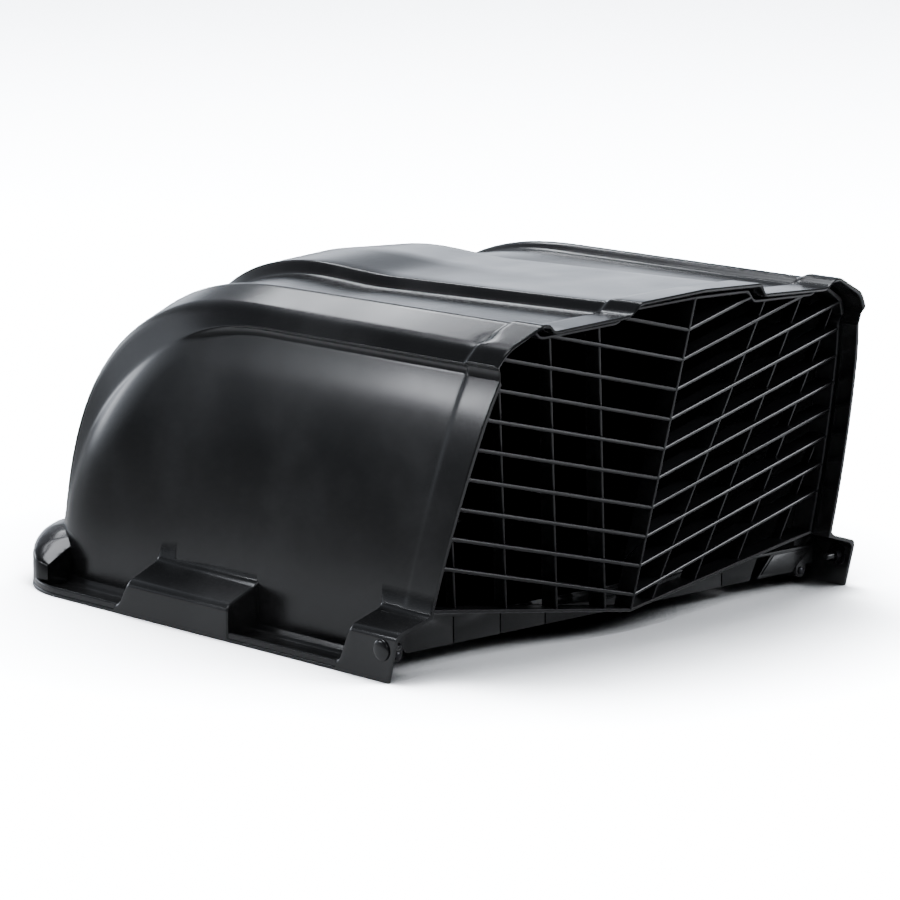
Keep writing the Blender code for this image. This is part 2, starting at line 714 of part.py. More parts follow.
def build():
    clear_scene()
    black = material("hood_black", (0.020, 0.020, 0.022), 0.42)
    grille_black = material("grille_black", (0.022, 0.022, 0.024), 0.50)
    steel = material("bracket_steel", (0.62, 0.62, 0.60), 0.35, 1.0)
    dark = material("black_zinc", (0.045, 0.045, 0.048), 0.40, 1.0)
    nylon = material("nylon", (0.75, 0.74, 0.70), 0.50)
    finish(hood_shell(), black)
    finish(louvre_grille(), grille_black)
    finish(rear_cross_panel(), black)
    for side in (-1, 1):
        bracket = front_bracket(side)
        for number, (x, y) in enumerate(screw_places(side), start=1):
            cut(bracket, screw_hole(x, y))
            finish(screw_solid("front_screw_" + side_name(side) + "_" + str(number), x, y), steel)
        finish(bracket, steel)
        finish(rear_bolt(side), black)
        finish(panel_screw(side), dark)
        finish(rear_washer(side), dark)
        finish(rear_nut(side), dark)
        finish(hinge_pin(side), steel)
        finish(hinge_clip(side), steel)
        finish(hinge_bush(side), nylon)


build()
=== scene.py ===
"""Looks of the roof vent cover: moulded hood, louvre insert, cross panel and fastenings."""
import math

import bmesh
import bpy
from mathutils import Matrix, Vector


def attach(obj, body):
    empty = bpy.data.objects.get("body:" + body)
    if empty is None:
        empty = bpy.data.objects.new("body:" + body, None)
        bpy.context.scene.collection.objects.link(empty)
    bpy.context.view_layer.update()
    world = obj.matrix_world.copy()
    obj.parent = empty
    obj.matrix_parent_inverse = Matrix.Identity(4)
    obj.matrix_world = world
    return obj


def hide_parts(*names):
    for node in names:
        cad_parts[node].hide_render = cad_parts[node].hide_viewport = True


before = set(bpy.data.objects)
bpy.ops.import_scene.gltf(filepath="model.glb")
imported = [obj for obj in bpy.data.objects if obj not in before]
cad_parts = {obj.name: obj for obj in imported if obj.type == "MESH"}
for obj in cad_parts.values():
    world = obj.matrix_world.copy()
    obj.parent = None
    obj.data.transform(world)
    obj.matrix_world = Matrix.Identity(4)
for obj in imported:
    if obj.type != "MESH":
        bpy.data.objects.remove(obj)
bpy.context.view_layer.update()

# Driving dimensions in metres, as in the CAD
WIDTH = 0.500
LENGTH = 0.574
HEIGHT = 0.2834
HALF_LENGTH = LENGTH / 2
WALL = 0.003
# Clearance between the louvre and the mouth
GAP = 0.0006
FOOT_REAR = -0.200
MOUTH_PROW = 0.050
# Rim of the mouth: its depth, how far it stands proud, its share of that on the side walls,
# the lead and run of its step, and the depth and size of the rounding at its edge
RIM_DEPTH = 0.036
RIM_STEP = 0.0025
SIDE_RIM = 0.22
STEP_LEAD = 0.003
STEP_RUN = 0.007
EDGE_DEPTH = 0.0012
EDGE_ROUND = 0.0011
RAKE = (HALF_LENGTH + FOOT_REAR) / (HEIGHT - RIM_STEP)
WALL_FOOT = 0.2190
WALL_DRAW = 0.44
# The wall draws in more quickly from this height up
TUCK_FROM = 0.197
WALL_TUCK = 1.6

# Lengthwise lines: half width, height over the nose's centre, reach of the nose, roundness
# exponent of the nose, rise of the roof towards the rear (linear, square)
PANEL_EDGE = (None, 0.2300, 0.188, 2.20, 0.010, 0.0)
CREASE = (0.1970, 0.2395, 0.262, 1.95, 0.010, 0.0)
SHOULDER_OUT = (0.1886, 0.2535, 0.2665, 2.55, 0.004, 0.0)
SHOULDER_TOP = (0.1550, 0.2670, 0.2670, 2.60, 0.017, 0.0)
CHANNEL_OUT = (0.1465, 0.2590, 0.2655, 2.62, 0.017, 0.0)
CHANNEL_IN = (0.0720, 0.2562, 0.2665, 3.30, 0.042, 0.0)
BAND_OUT = (0.0650, 0.2660, 0.2690, 3.50, 0.040, 0.0)
APEX = (0.0, 0.2690, 0.2700, 3.60, 0.001, 0.140)
# Swelling of the middle band over the nose: its height on each line, and how far forward it is reached
NOSE_SWELL = {CHANNEL_IN: 0.0035, BAND_OUT: 0.0035, APEX: 0.0035}
SWELL_REACH = 0.12
ROOF_LINES = (CREASE, SHOULDER_OUT, SHOULDER_TOP, CHANNEL_OUT, CHANNEL_IN, BAND_OUT, APEX)
# How far the corner at each line is rounded, and how many pieces the strip after it has
CORNER_CUTS = (0.0035, 0.0055, 0.0065, 0.0040, 0.0035, 0.0022)
STRIP_PIECES = (2, 6, 16, 3, 6, 3, 6)
ARC_PIECES = 4
WALL_PIECES = 14
# Fillet between wall and crease: pieces, the share of its curve that is kept, and its turning point
FILLET_PIECES = 7
FILLET_SHARE = 0.75
FILLET_TURN = 0.62
# Distance ahead of the nose's centre over which the roof's slope dies out
SLOPE_FADE = 0.10

# Stations of the hood: distances ahead of the mouth, then pieces of the straight part and of the nose
RIM_STATIONS = (0.0, 0.0005, 0.0012, 0.0024, 0.006, 0.012, 0.018, 0.024, 0.029, 0.032, 0.034, 0.0355,
                0.037, 0.0385, 0.040, 0.042, 0.046, 0.052)
STRAIGHT_PIECES = 30
NOSE_PIECES = 44
# Moulding dimple in each shoulder: x, y, radius, depth
DIMPLE = (0.1808, -0.2357, 0.0065, 0.0016)

# Gutter, and side blocks as rear end, front end, height at the wall and height outside
GUTTER_CORNER = 0.085
GUTTER_FLOOR = 0.003
MID_BLOCK = (-0.013, 0.107, 0.045, 0.031)
REAR_BLOCK = (-0.215, -0.160, 0.051, 0.041)
# The rear block before the raked mouth trims it
LONG_REAR_BLOCK = (REAR_BLOCK[0] - 0.02, *REAR_BLOCK[1:])
BLOCK_SLOPE = 0.020
BLOCK_PIECES = 12
# What is left of a block's height where its front end meets the lip
BLOCK_TAIL = 0.23
# Hinge lugs: the hole's (y, z), inner faces, thickness, reach along Y and heights
HINGE = (0.262, 0.014)
LUG_FACES = (0.1815, 0.1915)
LUG_THICK = 0.003
LUG_REACH = 0.010
LUG_HEIGHTS = (0.005, 0.0405)
HINGE_HOLE = 0.0035
# Bolt through the rear block: (y, z), clearance hole, and its rod, shank and head
BOLT = (-0.1940, 0.0253)
BOLT_HOLE = 0.0035
BOLT_LENGTH = 0.018
BOLT_SHANK = 0.0029
BOLT_HEAD = 0.0085
BOLT_DOME = 0.0021
# Domed block over each front corner: direction from the corner's centre, outer radius, and
# height at the outer edge and at the hood
DOME = ((8.0, 0.0700, 0.0165, 0.0215), (20.0, 0.0765, 0.0195, 0.0245), (27.0, 0.0830, 0.0215, 0.0320),
        (36.0, 0.0846, 0.0240, 0.0390), (48.0, 0.0846, 0.0285, 0.0430), (62.0, 0.0846, 0.0345, 0.0455),
        (78.0, 0.0846, 0.0390, 0.0470), (86.0, 0.0835, 0.0350, 0.0430), (89.5, 0.0800, 0.0280, 0.0350))
DOME_INNER = 0.044
DOME_REAR = 0.228
DOME_STEP = 2.5

# Louvre lattice
LOUVRE_FOOT = -0.2010
LOUVRE_RAKE = 0.270
LOUVRE_PROW = 0.088
BLADE_COUNT = 10
BLADE_TOP = 0.2490
BLADE_PITCH = 0.02415
BLADE_RISE = 0.252
BLADE_THICK = 0.0032
BLADE_DEPTH = 0.019
LATTICE_DEPTH = 0.0186
LATTICE_REACH = 0.26
LATTICE_TOP = 0.30
RIB_FEET = (0.0194, 0.0671, 0.1166, 0.1660)
RIB_FAN = 0.270
RIB_THICK = 0.0020
RIB_RECESS = 0.0013
# Away from the ridge the ribs stand further back, and a little further out
RIB_SINK = 0.065
RIB_SINK_FROM = 0.060
RIB_SHIFT = 0.92
RIB_PIECES = 6
RIM_CENTRE_Z = 0.0190
RIM_RISE = 0.137
FRAME_THICK = 0.0026
FRAME_DEPTH = 0.020
FRAME_SOFT = 0.0007

# Cross panel, as an outline and cuts in the X-Z plane
CROSS_Y = -0.178
CROSS_FOOT = 0.0135
CROSS_STEP = 0.0182
CROSS_HALF = 0.2335
CROSS_TOP = ((CROSS_HALF, 0.0330), (0.1750, 0.0330), (0.1600, 0.0374), (0.1350, 0.0340), (-0.1350, 0.0340),
             (-0.2110, 0.0444), (-CROSS_HALF, 0.0385))
SLITS = ((-0.1625, 0.0345), (-0.1135, 0.0300), (-0.0660, 0.0270), (0.1285, 0.0246))
SLIT_WIDTH = 0.0014
WIDE_SLIT = ((0.1604, 0.0), (0.1690, 0.0), (0.1690, CROSS_FOOT), (0.1849, 0.0310), (0.1688, 0.0310),
             (0.1604, CROSS_FOOT))
PLATE = ((0.1735, 0.0165), (0.2065, 0.0165), (0.2265, 0.0305), (0.1880, 0.0305))
PLATE_RAISE = 0.0009
# Screw tab: x, z, radius; the hole in it; and the post behind it with its own hole
TAB = (0.2200, 0.0130, 0.0052)
TAB_HOLE = 0.0021
POST_HOLE = 0.0020
POST_X = (0.2155, 0.2250)
POST_Y = (CROSS_Y + WALL + 0.0003, -0.1650)
POST_Z = (0.0085, 0.0472)

# Studio floor: whiteness, how fast its painted contact shadow darkens it near contact, the painted shade
# under the hood (centre in Y, half widths), and the painted light it sends back by distance and toward the
# rear
FLOOR_WHITE = 14.0
FLOOR_CONTACT = 3.0
FLOOR_SHADE = (0.035, 0.235, 0.235)
FLOOR_NEAR = ((0.40, 0.60), (0.85, 0.22))
FLOOR_REAR = ((0.20, 0.20), (0.80, 0.80))
# Studio sky: backdrop, level by height (sine of elevation), middle direction, level around it,
# scale, rest and colour
BACKDROP = 30.0
SKY_HEIGHT = ((0.0, 0.75), (0.13, 1.0), (0.18, 0.8), (0.24, 0.12), (0.68, 0.12), (0.76, 1.1), (1.0, 1.1))
SKY_AHEAD = math.radians(18.0)
SKY_ROUND = ((0.42, 0.05), (0.55, 0.20), (0.74, 0.50), (0.90, 1.0))
SKY_LEVEL = 2.45
SKY_REST = 0.15
SKY_COLOUR = (0.84, 0.90, 1.0, 1.0)
# Softboxes: name, azimuth from +Y toward +X, elevation, distance, size, radiance, aim
LAMP_TINT = (0.92, 0.95, 1.0)
SOFTBOXES = (
    ("top", -20.0, 78.0, 3.2, (2.0, 2.0), 9.5),
    ("shoulder", 24.0, 37.0, 3.8, (0.66, 0.28), 18.0),
    ("blocks", -2.0, 52.0, 3.8, (0.80, 0.35), 8.0),
    ("nose", -7.0, 5.0, 3.8, (0.80, 0.60), 3.0),
    ("side", -46.0, 9.0, 1.3, (0.26, 0.07), 26.0, (-0.236, -0.165, 0.212)),
    ("rear", 146.0, 28.0, 3.4, (1.60, 0.80), 20.0),
    ("low_rear", 135.0, 3.0, 3.0, (1.60, 0.50), 5.0),
    ("camera_side", -142.0, 34.0, 3.8, (1.60, 0.90), 5.0),
)
# Camera: place, aim, focal length and sensor in millimetres, shift
CAMERA_PLACE = (-2.8486, -3.1200, 0.9524)
CAMERA_AIM = (0.0, -0.05, 0.13)
CAMERA_LENS = 213.8
CAMERA_SENSOR = 36.0
CAMERA_SHIFT = (-0.0504, -0.0082)


# ---- mesh helpers -----------------------------------------------------------------------

def make_object(name, bm, weld=1e-6):
    """Turn a bmesh into a linked object with its faces pointing out."""
    bmesh.ops.remove_doubles(bm, verts=bm.verts, dist=weld)
    bmesh.ops.dissolve_degenerate(bm, edges=bm.edges, dist=weld)
    bmesh.ops.recalc_face_normals(bm, faces=bm.faces)
    mesh = bpy.data.meshes.new(name)
    bm.to_mesh(mesh)
    bm.free()
    made = bpy.data.objects.new(name, mesh)
    bpy.context.scene.collection.objects.link(made)
    return made


def applied(target):
    """Bake an object's modifiers into its mesh."""
    bpy.context.view_layer.update()
    evaluated = target.evaluated_get(bpy.context.evaluated_depsgraph_get())
    result = bpy.data.meshes.new_from_object(evaluated)
    target.modifiers.clear()
    target.data = result
    return target


def combine(target, tool, operation):
    """Apply a Boolean with the tool and remove the tool; EXACT steps in where MANIFOLD fails."""
    before = len(target.data.polygons)
    for solver in ("MANIFOLD", "EXACT"):
        modifier = target.modifiers.new("combine", "BOOLEAN")
        modifier.operation = operation
        modifier.object = tool
        modifier.solver = solver
        kept = target.data
        applied(target)
        if len(target.data.polygons) > 0.2 * before or operation == "INTERSECT":
            break
        target.data = kept
    bpy.data.objects.remove(tool, do_unlink=True)
    return target


def union(target, *tools):
    """Add every tool to the target."""
    for tool in tools:
        combine(target, tool, "UNION")
    return target


def cut(target, *tools):
    """Take every tool away from the target."""
    for tool in tools:
        combine(target, tool, "DIFFERENCE")
    return target


def loft(name, rings, closed=False):
    """Skin equal rings of points; the two end rings are capped unless the loft is closed."""
    bm = bmesh.new()
    rows = [[bm.verts.new(point) for point in ring] for ring in rings]
    count = len(rows[0])
    pairs = list(zip(rows, rows[1:]))
    if closed:
        pairs.append((rows[-1], rows[0]))
    for low, high in pairs:
        for i in range(count):
            j = (i + 1) % count
            bm.faces.new((low[i], low[j], high[j], high[i]))
    if not closed:
        bm.faces.new(rows[0][::-1])
        bm.faces.new(rows[-1])
    bmesh.ops.triangulate(bm, faces=[face for face in bm.faces if len(face.verts) > 4])
    return make_object(name, bm)


def box(name, x, y, z):
    """Axis-aligned box from three (low, high) pairs."""
    low, high = sorted(z)
    corners = ((x[0], y[0]), (x[1], y[0]), (x[1], y[1]), (x[0], y[1]))
    return loft(name, [[(a, b, level) for a, b in corners] for level in (low, high)])


def rod(name, centre, steps, sides=48, along_y=False):
    """Round piece along X or Y: steps are (place, radius) pairs from one end to the other."""
    rings = []
    for place, radius in steps:
        ring = []
        for i in range(sides):
            a = 2 * math.pi * i / sides
            u = centre[0] + radius * math.cos(a)
            v = centre[1] + radius * math.sin(a)
            ring.append((u, place, v) if along_y else (place, u, v))
        rings.append(ring)
    return loft(name, rings)


def slab(name, outline, low, high):
    """Upright plate over an outline of (x, z) points, from low to high in Y."""
    return loft(name, [[(x, y, z) for x, z in outline] for y in (low, high)])


def bevelled(piece, width, segments=2, angle=35.0):
    """Round the edges of a piece."""
    soften = piece.modifiers.new("soften", "BEVEL")
    soften.width = width
    soften.segments = segments
    soften.limit_method = "ANGLE"
    soften.angle_limit = math.radians(angle)
    return applied(piece)


def smooth(value):
    """Smoothstep of a value clamped to 0..1."""
    value = max(0.0, min(1.0, value))
    return value * value * (3 - 2 * value)


def arc_points(centre, radius, start, end, pieces):
    """Points of an arc in a plane, angles in degrees."""
    points = []
    for i in range(pieces + 1):
        a = math.radians(start + (end - start) * i / pieces)
        points.append((centre[0] + radius * math.cos(a), centre[1] + radius * math.sin(a)))
    return points


def round_corners(points, cuts, pieces):
    """Polyline with its inner corners rounded: each strip and each arc has a set number of pieces."""
    path = []
    start = points[0]
    for i in range(1, len(points)):
        end = points[i]
        after = None
        if i < len(points) - 1:
            leg = points[i] - points[i - 1]
            following = points[i + 1] - points[i]
            reach = min(cuts[i - 1], 0.45 * leg.length, 0.45 * following.length)
            end = points[i] - leg.normalized() * reach
            after = points[i] + following.normalized() * reach
        for k in range(pieces[i - 1]):
            path.append(start.lerp(end, k / pieces[i - 1]))
        if after is not None:
            for k in range(ARC_PIECES):
                t = k / ARC_PIECES
                path.append(end.lerp(points[i], t).lerp(points[i].lerp(after, t), t))
            start = after
        else:
            path.append(end)
    return path


# ---- hood surface -----------------------------------------------------------------------

def wall_x(z, offset=0.0):
    """Half width of the side wall at height z: it draws in more quickly just under the roof."""
    high = max(0.0, z - TUCK_FROM)
    return WALL_FOOT - WALL_DRAW * z * z - WALL_TUCK * high * high - offset


def mouth_y(x, z):
    """Where the rear mouth stands at a point of the profile."""
    return FOOT_REAR - RAKE * z + MOUTH_PROW * abs(x) * z / HEIGHT


def line_x(line, z, offset):
    """Half width of a lengthwise line; the wall's own lines follow the wall."""
    if line[0] is None:
        return wall_x(z, offset)
    shares = {CREASE: 1.0, SHOULDER_OUT: 0.7, CHANNEL_IN: -0.3, BAND_OUT: 0.3}
    return max(line[0] - shares.get(line, 0.0) * offset, 0.0)


def line_height(line, y):
    """Height of a line behind the nose's centre, at y <= 0."""
    return line[1] - line[4] * y + line[5] * y * y


def straight_point(line, distance, share, offset):
    """Point of a line at a distance from the mouth, or at a share of the way to it."""
    z = line[1] - offset
    y = 0.0
    for _ in range(5):
        x = line_x(line, z, offset)
        rear = mouth_y(x, z)
        y = rear + distance if share is None else (rear + RIM_STATIONS[-1]) * share
        z = line_height(line, min(y, 0.0)) - offset
    return Vector((line_x(line, z, offset), y, z))


def nose_point(line, angle, offset):
    """Point of a line on the nose: angle is 90 degrees at the top and 0 at the front foot."""
    power = line[3]
    c = max(math.cos(angle), 0.0)
    s = max(math.sin(angle), 0.0)
    size = (c ** power + s ** power) ** (-1.0 / power)
    y = (line[2] - offset) * c * size
    z = (line[1] - offset) * s * size
    fade = max(0.0, 1 - y / SLOPE_FADE)
    z += NOSE_SWELL.get(line, 0.0) * smooth(y / SWELL_REACH) * (z / line[1]) ** 2
    z -= line[4] * y * fade * fade * min(1.0, s * 2)
    return Vector((line_x(line, z, offset), y, z))


def half_row(place, offset, lift):
    """Half profile from the foot of the wall to the apex, at one station."""
    edge = place(PANEL_EDGE)
    lines = [place(line) for line in ROOF_LINES]
    behind = max(min(edge.y / mouth_y(edge.x, edge.z), 1.0), 0.0)
    row = []
    for i in range(WALL_PIECES):
        z = edge.z * i / WALL_PIECES
        y = edge.y + (mouth_y(edge.x, z) - mouth_y(edge.x, edge.z)) * behind
        row.append(Vector((wall_x(z, offset), y, z)))
    crease = lines[0]
    turn = edge.lerp(crease, FILLET_TURN)
    turn.x = wall_x(turn.z, offset)
    for i in range(FILLET_PIECES):
        t = FILLET_SHARE * i / FILLET_PIECES
        row.append(edge.lerp(turn, t).lerp(turn.lerp(crease, t), t))
    t = FILLET_SHARE
    corner = edge.lerp(turn, t).lerp(turn.lerp(crease, t), t)
    row += round_corners([corner] + lines, CORNER_CUTS, STRIP_PIECES)
    for point in row:
        if point.x > SHOULDER_TOP[0]:
            point.x += lift * (1.0 if point.z > edge.z else SIDE_RIM)
        if point.z > edge.z + 0.004:
            point.z += lift * smooth((point.z - edge.z) / 0.012)
    return row


def rim_lift(distance):
    """How far the rim stands proud: full at the mouth, with a rounded edge, and nothing past the step."""
    step = 1 - smooth((distance - RIM_DEPTH + STEP_LEAD) / STEP_RUN)
    edge = max(0.0, 1 - distance / EDGE_DEPTH)
    return RIM_STEP * step, EDGE_ROUND * edge * edge


def hood_rows(offset):
    """Stations from the rear mouth to the front foot, each a half profile."""
    rows = []
    for distance in RIM_STATIONS:
        lift, rounding = rim_lift(distance)
        inset = offset + (rounding if offset == 0 else -rounding * 0.6)
        proud = lift - inset + offset
        rows.append(half_row(lambda line: straight_point(line, distance, None, offset), offset, proud))
    for i in range(1, STRAIGHT_PIECES):
        share = 1 - i / STRAIGHT_PIECES
        rows.append(half_row(lambda line: straight_point(line, 0.0, share, offset), offset, 0.0))
    for i in range(NOSE_PIECES + 1):
        angle = math.radians(90.0 * (1 - i / NOSE_PIECES))
        rows.append(half_row(lambda line: nose_point(line, angle, offset), offset, 0.0))
    return rows


def dent(point):
    """Small moulding dimple in each shoulder just ahead of the rim."""
    away = math.hypot(abs(point.x) - DIMPLE[0], point.y - DIMPLE[1]) / DIMPLE[2]
    if point.z > 0.2 and away < 3:
        point.z -= DIMPLE[3] * math.exp(-away * away)
    return point


def full_row(row):
    """Both halves of a station, from the left foot over the apex to the right foot."""
    return [(-p.x, p.y, p.z) for p in row] + [tuple(p) for p in row[-2::-1]]


def skin(name, outer, inner):
    """Thin shell between two grids of the same size."""
    rows = len(outer)
    count = len(outer[0])
    bm = bmesh.new()
    out = [[bm.verts.new(p) for p in row] for row in outer]
    ins = [[bm.verts.new(p) for p in row] for row in inner]
    for i in range(rows - 1):
        for j in range(count - 1):
            bm.faces.new((out[i][j], out[i][j + 1], out[i + 1][j + 1], out[i + 1][j]))
            bm.faces.new((ins[i][j], ins[i + 1][j], ins[i + 1][j + 1], ins[i][j + 1]))
    border = [(0, j) for j in range(count)]
    border += [(i, count - 1) for i in range(1, rows)]
    border += [(rows - 1, j) for j in range(count - 2, -1, -1)]
    border += [(i, 0) for i in range(rows - 2, 0, -1)]
    for (a, b), (c, d) in zip(border, border[1:] + border[:1]):
        bm.faces.new((out[a][b], ins[a][b], ins[c][d], out[c][d]))
    return make_object(name, bm, weld=1e-5)


# ---- gutter and blocks ------------------------------------------------------------------

def gutter_outline(inset, pieces=24):
    """Right half of the foot's outline in plan: rear, side, round front corner, front centre."""
    side = WIDTH / 2 - inset
    front = HALF_LENGTH - inset
    radius = GUTTER_CORNER - inset
    centre = Vector((side - radius, front - radius))
    points = []
    for i in range(pieces):
        points.append((Vector((side, FOOT_REAR + (centre.y - FOOT_REAR) * i / pieces)), Vector((-1, 0))))
    for i in range(pieces + 1):
        a = math.radians(90.0 * i / pieces)
        out = Vector((math.cos(a), math.sin(a)))
        points.append((centre + out * radius, -out))
    for i in range(1, pieces):
        points.append((Vector((centre.x * (1 - i / (pieces - 1)), front)), Vector((0, -1))))
    return points


def hit(start, direction, outline):
    """Distance from a point to an outline along a direction in plan."""
    best = None
    for a, b in zip(outline, outline[1:]):
        edge = b - a
        cross = direction.x * edge.y - direction.y * edge.x
        if abs(cross) < 1e-12:
            continue
        gap = a - start
        along = (gap.x * edge.y - gap.y * edge.x) / cross
        share = (gap.x * direction.y - gap.y * direction.x) / cross
        if along > 0 and -1e-6 <= share <= 1 + 1e-6 and (best is None or along < best):
            best = along
    return best


def gutter_section(width):
    """Closed section of the gutter: (distance in from the outer edge, height)."""
    lip = [(0.0004, 0.0), (0.0, 0.0005), (0.0, 0.0023), (0.0003, 0.0028), (0.0010, 0.0030), (0.0011, 0.0036)]
    lip += [(0.0011, 0.0066)] + arc_points((0.0023, 0.0066), 0.0012, 180, 0, 6)
    lip += [(0.0037, 0.0052), (0.0042, 0.0038), (0.0052, 0.0031), (0.0070, GUTTER_FLOOR)]
    wall = [(width - 0.0070, GUTTER_FLOOR), (width - 0.0040, 0.0034), (width - 0.0020, 0.0048)]
    wall += [(width - 0.0008, 0.0070), (width - 0.0002, 0.0100)]
    wall += [(width + 0.0012, 0.0120), (width + 0.0015, 0.0)]
    return lip + wall


def gutter(foot):
    """Shallow channel round the foot: a stepped lip outside, a fillet up to the wall inside."""
    outline = [Vector((foot[0].x, -1.0))] + foot
    rings = []
    for point, inward in gutter_outline(0.0):
        width = hit(point, inward, outline)
        ring = []
        for distance, z in gutter_section(width):
            place = point + inward * distance
            ring.append((place.x, place.y, z))
        rings.append(ring)
    mirrored = [[(-x, y, z) for x, y, z in ring] for ring in rings[-2::-1]]
    return loft("gutter", rings + mirrored)


def block_ring(high, low, inner, outer):
    """Section of a side block: rounded outer top edge, hollow fillet up to the wall."""
    radius = min(0.0075, low * 0.5)
    fillet = min(0.0060, low * 0.45)
    wall = wall_x(high + fillet)
    drop = (high - low) / (outer - wall)
    slope = math.degrees(math.atan(drop))
    ring = [(inner, 0.0), (outer - 0.0005, 0.0), (outer, 0.0005), (outer, 0.010 * low / 0.031)]
    ring += arc_points((outer - radius, low - radius), radius, 0, 90 - slope, 6)
    top = ring[-1]
    run = outer - wall - radius - fillet
    start = (top[0] - run, top[1] + run * drop)
    ring += [(top[0] - run * 0.5, top[1] + run * drop * 0.5), start]
    for i in range(1, 6):
        t = i / 5
        knee = (wall, start[1] + fillet * drop)
        end = (wall - 0.0004, start[1] + fillet * (1 + drop))
        a = (start[0] + (knee[0] - start[0]) * t, start[1] + (knee[1] - start[1]) * t)
        b = (knee[0] + (end[0] - knee[0]) * t, knee[1] + (end[1] - knee[1]) * t)
        ring.append((a[0] + (b[0] - a[0]) * t, a[1] + (b[1] - a[1]) * t))
    ring.append((inner, ring[-1][1]))
    return ring


def side_block(side, ends, rear_round=True):
    """Block on the side gutter: upright rear end, S-shaped front end running down to the lip."""
    rear, front, high, low = ends
    outer = WIDTH / 2
    inner = wall_x(high) - WALL / 2
    stations = []
    for i in range(BLOCK_PIECES + 1):
        t = i / BLOCK_PIECES
        stations.append((front + BLOCK_SLOPE * t, 1 - (1 - BLOCK_TAIL) * smooth(t)))
    rings = []
    if rear_round:
        for step, shrink in ((0.0, 0.0014), (0.0004, 0.0006), (0.0013, 0.0)):
            ring = block_ring(high - shrink, low - shrink, inner, outer - shrink)
            rings.append([(side * x, rear + step, z) for x, z in ring])
    else:
        rings.append([(side * x, rear, z) for x, z in block_ring(high, low, inner, outer)])
    for y, share in stations:
        rings.append([(side * x, y, z) for x, z in block_ring(high * share, low * share, inner, outer)])
    return loft("block", rings)


def block_hollow(side, ends):
    """Hollow of a side block, open below and towards the inside."""
    rear, front, high, low = ends
    outer = WIDTH / 2 - WALL
    inner = wall_x(high) - 2 * WALL
    rings = []
    for y, share in ((rear + WALL, 1.0), (front - WALL, 1.0), (front + BLOCK_SLOPE * 0.35 - WALL, 0.80),
                     (front + BLOCK_SLOPE * 0.7 - WALL, 0.4), (front + BLOCK_SLOPE - 2 * WALL, 0.16)):
        top_in = high * share - WALL
        top_out = low * share - WALL
        bevel = 0.004 * share
        ring = [(inner, -WALL), (outer, -WALL), (outer, top_out - bevel), (outer - bevel, top_out)]
        ring.append((inner, top_in))
        rings.append([(side * x, y, z) for x, z in ring])
    return loft("hollow", rings)


def rake_cutter(side):
    """Everything behind the raked rear mouth, on one side."""
    rings = []
    for x in (side * 0.18, side * 0.27):
        edge = [(x, mouth_y(x, z), z) for z in (0.08, -0.01)]
        rings.append(edge + [(x, -HALF_LENGTH, -0.01), (x, -HALF_LENGTH, 0.08)])
    return loft("rake", rings)


def rear_block(side):
    """Side block that ends at the raked mouth."""
    return cut(side_block(side, LONG_REAR_BLOCK, rear_round=False), rake_cutter(side))


def dome_at(degrees):
    """Outer radius and heights of the front dome in one direction."""
    for before, after in zip(DOME, DOME[1:]):
        if degrees <= after[0]:
            t = (degrees - before[0]) / (after[0] - before[0])
            return [a + (b - a) * t for a, b in zip(before[1:], after[1:])]
    return list(DOME[-1][1:])


def front_block(side, inset):
    """Domed block that follows the gutter's front corner; set in, the same shape makes its hollow."""
    centre = (WIDTH / 2 - GUTTER_CORNER, HALF_LENGTH - GUTTER_CORNER)
    last = DOME[-1][0] - math.degrees(inset / DOME_INNER)
    count = int((last - DOME[0][0]) / DOME_STEP)
    rings = []
    for k in range(count + 1):
        degrees = DOME[0][0] + (last - DOME[0][0]) * k / count
        radius, low, high = dome_at(degrees)
        outer = radius - inset
        section = [(DOME_INNER, -inset), (outer, -inset)]
        for turn in range(0, 91, 9):
            reach = DOME_INNER + (outer - DOME_INNER) * math.cos(math.radians(turn))
            section.append((reach, low + (high - low) * math.sin(math.radians(turn)) - inset))
        c = math.cos(math.radians(degrees))
        s = math.sin(math.radians(degrees))
        rings.append([(side * (centre[0] + r * c), centre[1] + r * s, z) for r, z in section])
    block = loft("front_block", rings)
    ends = sorted((side * 0.15, side * WIDTH))
    cut(block, box("end", ends, (0.0, DOME_REAR + inset), (-0.02, 0.08)))
    return block if inset else bevelled(block, 0.0014, 3, 50.0)


def hinge_lugs(side):
    """Two lugs inside the front block that carry the hinge pin."""
    pair = []
    for x in LUG_FACES:
        ends = sorted((side * x, side * (x + LUG_THICK)))
        pair.append(box("lug", ends, (HINGE[0] - LUG_REACH, HINGE[0] + LUG_REACH), LUG_HEIGHTS))
    return pair


def panel_post(side):
    """Post under the rear block's roof that takes the cross panel's screw."""
    post = box("post", sorted((side * POST_X[0], side * POST_X[1])), POST_Y, POST_Z)
    hole = [(POST_Y[0] - WALL, POST_HOLE), (POST_Y[1] + WALL, POST_HOLE)]
    return cut(post, rod("hole", (side * TAB[0], TAB[1]), hole, sides=24, along_y=True))


def hood():
    """The moulded hood: shell, gutter, blocks and hinge lugs in one piece."""
    outer_rows = hood_rows(0.0)
    foot = [Vector((p.x, p.y)) for p in outer_rows[-1]]
    outer = [full_row([dent(p) for p in row]) for row in outer_rows]
    inner = [full_row(row) for row in hood_rows(WALL)]
    shell = skin("hood_body", outer, inner)
    union(shell, gutter(foot))
    for side in (-1, 1):
        union(shell, side_block(side, MID_BLOCK), rear_block(side), front_block(side, 0.0))
    for side in (-1, 1):
        hollow = block_hollow(side, LONG_REAR_BLOCK)
        cut(shell, block_hollow(side, MID_BLOCK), hollow, front_block(side, WALL))
        union(shell, *hinge_lugs(side), panel_post(side))
        cut(shell, rod("hole", HINGE, [(side * x, HINGE_HOLE) for x in (0.175, 0.205)]))
        cut(shell, rod("hole", BOLT, [(side * x, BOLT_HOLE) for x in (0.240, 0.260)]))
    shell.name = "hood_body"
    return shell


# ---- louvre -----------------------------------------------------------------------------

